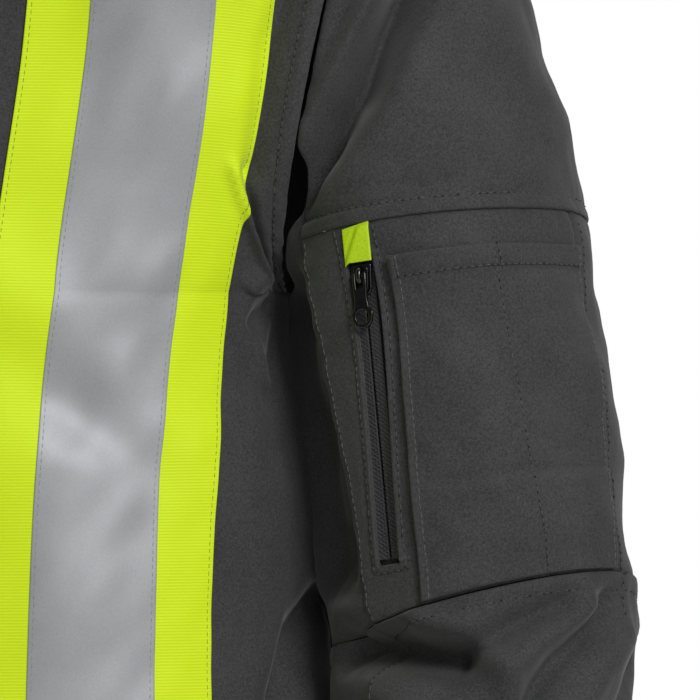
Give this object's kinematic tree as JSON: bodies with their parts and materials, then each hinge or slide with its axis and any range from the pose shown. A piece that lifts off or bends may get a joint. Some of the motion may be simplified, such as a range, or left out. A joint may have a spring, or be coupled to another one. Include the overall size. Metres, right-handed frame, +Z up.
{
  "type": "high-visibility softshell work coat",
  "caption": "Zip-front softshell work coat hung as if worn, with contrast and reflective bands, a zipped sleeve pocket, a pen pocket and tab cuffs.",
  "frame": {"origin": "underside of the hanger loop at the inside of the back neck, where a coat hook carries the coat", "axes": "+Z up along the hanging coat, -Y towards the coat's front, +X towards the wearer's left sleeve"},
  "size_m": [0.677, 0.2607, 0.7971],
  "materials": {
    "softshell": "charcoal bonded softshell, fine knitted face",
    "fleece": "brushed fleece and mesh lining",
    "hi_vis_fabric": "fluorescent yellow-green ribbed polyester",
    "reflective_tape": "silver glass-bead reflective tape",
    "woven_tape": "black woven zip and hanger tape",
    "zip_coil": "black nylon coil",
    "zip_slider": "gloss black enamel on die-cast zinc"
  },
  "bodies": {
    "coat": {"front_panel_left": "softshell", "hand_zip_tape_left": "woven_tape", "hand_zip_coil_left": "zip_coil", "front_panel_right": "softshell", "hand_zip_tape_right": "woven_tape", "hand_zip_coil_right": "zip_coil", "back_panel": "softshell", "hand_pocket_bag_left": "fleece", "hand_pocket_bag_right": "fleece", "collar_outer": "softshell", "collar_lining": "fleece", "front_zip_tape_left": "woven_tape", "front_zip_coil_left": "zip_coil", "front_zip_tape_right": "woven_tape", "front_zip_coil_right": "zip_coil", "front_zip_box": "zip_coil", "storm_flap": "fleece", "contrast_band_left": "hi_vis_fabric", "contrast_band_right": "hi_vis_fabric", "reflective_tape_left": "reflective_tape", "reflective_tape_right": "reflective_tape", "waist_band": "hi_vis_fabric", "waist_reflective_tape": "reflective_tape", "sleeve_cap_left": "softshell", "sleeve_cap_right": "softshell", "sleeve_rear_panel_left": "softshell", "sleeve_rear_panel_right": "softshell", "sleeve_under_panel_left": "softshell", "sleeve_under_panel_right": "softshell", "sleeve_zip_tape": "woven_tape", "sleeve_zip_coil": "zip_coil", "sleeve_zip_garage": "hi_vis_fabric", "sleeve_pocket_panel": "softshell", "sleeve_front_panel_right": "softshell", "pen_pocket": "softshell", "sleeve_pocket_bag": "fleece", "hanger_loop": "woven_tape"},
    "front_zip_slider": {"front_zip_slider": "zip_slider"},
    "front_zip_pull": {"front_zip_pull": "zip_slider"},
    "sleeve_zip_slider": {"sleeve_zip_slider": "zip_slider"},
    "sleeve_zip_pull": {"sleeve_zip_pull": "zip_slider"},
    "hand_zip_slider_left": {"hand_zip_slider_left": "zip_slider"},
    "hand_zip_pull_left": {"hand_zip_pull_left": "zip_slider"},
    "hand_zip_slider_right": {"hand_zip_slider_right": "zip_slider"},
    "hand_zip_pull_right": {"hand_zip_pull_right": "zip_slider"},
    "forearm_left": {"forearm_panel_left": "softshell", "forearm_under_panel_left": "softshell", "cuff_left": "softshell"},
    "cuff_tab_left": {"cuff_tab_left": "softshell"},
    "forearm_right": {"forearm_panel_right": "softshell", "forearm_under_panel_right": "softshell", "cuff_right": "softshell"},
    "cuff_tab_right": {"cuff_tab_right": "softshell"}
  },
  "joints": [
    {"name": "front_zip_slide", "type": "slide", "parent": "coat", "child": "front_zip_slider", "axis": [0, -0.0659, -0.9978], "range_m": [0, 0.683]},
    {"name": "front_zip_pull_swing", "type": "hinge", "parent": "front_zip_slider", "child": "front_zip_pull", "pos_m": [0, -0.14354, -0.01513], "axis": [-1, 0, 0], "range_deg": [0, 150]},
    {"name": "sleeve_zip_slide", "type": "slide", "parent": "coat", "child": "sleeve_zip_slider", "axis": [0.1108, -0.0839, -0.9903], "range_m": [0, 0.102]},
    {"name": "sleeve_zip_pull_swing", "type": "hinge", "parent": "sleeve_zip_slider", "child": "sleeve_zip_pull", "pos_m": [0.23533, -0.12277, -0.25167], "axis": [-0.9446, 0.3009, -0.1312], "range_deg": [0, 150]},
    {"name": "hand_zip_left_slide", "type": "slide", "parent": "coat", "child": "hand_zip_slider_left", "axis": [0.0947, -0.0577, -0.9938], "range_m": [0, 0.11]},
    {"name": "hand_zip_left_pull_swing", "type": "hinge", "parent": "hand_zip_slider_left", "child": "hand_zip_pull_left", "pos_m": [0.05258, -0.16955, -0.43688], "axis": [-0.992, -0.0887, -0.0893], "range_deg": [0, 150]},
    {"name": "hand_zip_right_slide", "type": "slide", "parent": "coat", "child": "hand_zip_slider_right", "axis": [-0.0947, -0.0577, -0.9938], "range_m": [0, 0.11]},
    {"name": "hand_zip_right_pull_swing", "type": "hinge", "parent": "hand_zip_slider_right", "child": "hand_zip_pull_right", "pos_m": [-0.05258, -0.16955, -0.43688], "axis": [-0.992, 0.0887, 0.0893], "range_deg": [0, 150]},
    {"name": "elbow_bend_left", "type": "hinge", "parent": "coat", "child": "forearm_left", "pos_m": [0.272, -0.13917, -0.37737], "axis": [-1, 0, 0], "range_deg": [0, 45]},
    {"name": "cuff_tab_peel_left", "type": "hinge", "parent": "forearm_left", "child": "cuff_tab_left", "pos_m": [0.29434, -0.08914, -0.681], "axis": [-0.0106, 0.2687, 0.9632], "range_deg": [0, 110]},
    {"name": "elbow_bend_right", "type": "hinge", "parent": "coat", "child": "forearm_right", "pos_m": [-0.272, -0.13917, -0.37737], "axis": [-1, 0, 0], "range_deg": [0, 45]},
    {"name": "cuff_tab_peel_right", "type": "hinge", "parent": "forearm_right", "child": "cuff_tab_right", "pos_m": [-0.29434, -0.08914, -0.681], "axis": [-0.0106, -0.2687, -0.9632], "range_deg": [0, 110]}
  ]
}
